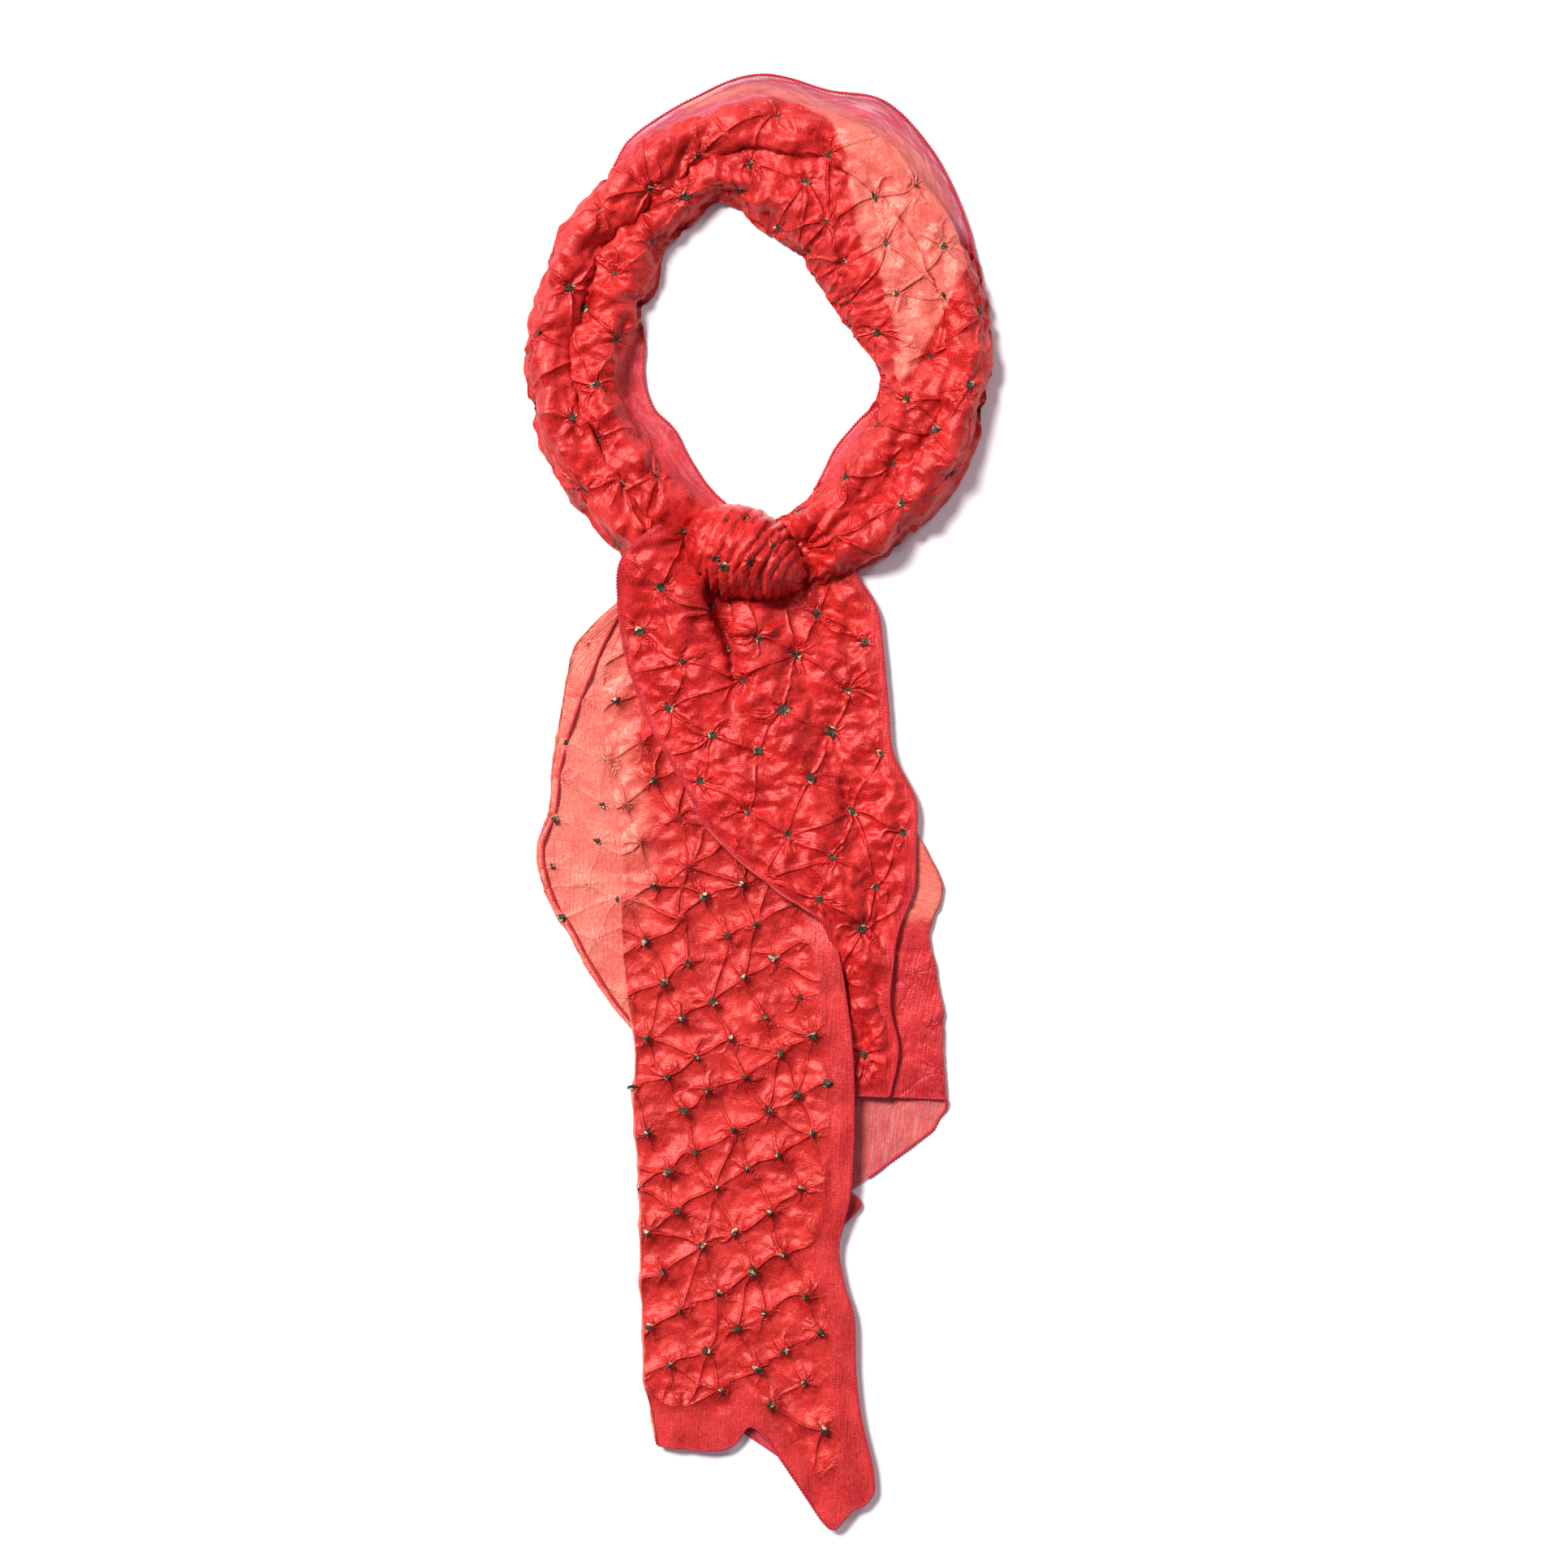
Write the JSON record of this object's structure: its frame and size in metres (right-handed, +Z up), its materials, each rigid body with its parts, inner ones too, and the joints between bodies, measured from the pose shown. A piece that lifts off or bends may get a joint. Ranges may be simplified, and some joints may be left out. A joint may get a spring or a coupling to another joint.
{
  "type": "bandhani scarf",
  "caption": "Red and coral tie-dyed silk bandhani scarf, knotted into a neck ring with two hanging tails and laid out flat.",
  "frame": {"origin": "centre of the outline, on the surface the scarf lies on", "axes": "+Y from the tails towards the neck ring, along the scarf; +X to the right seen from above; +Z up"},
  "size_m": [0.2715, 0.8495, 0.0432],
  "materials": {
    "silk": "satin"
  },
  "bodies": {
    "root": {"scarf": "silk"}
  },
  "joints": []
}
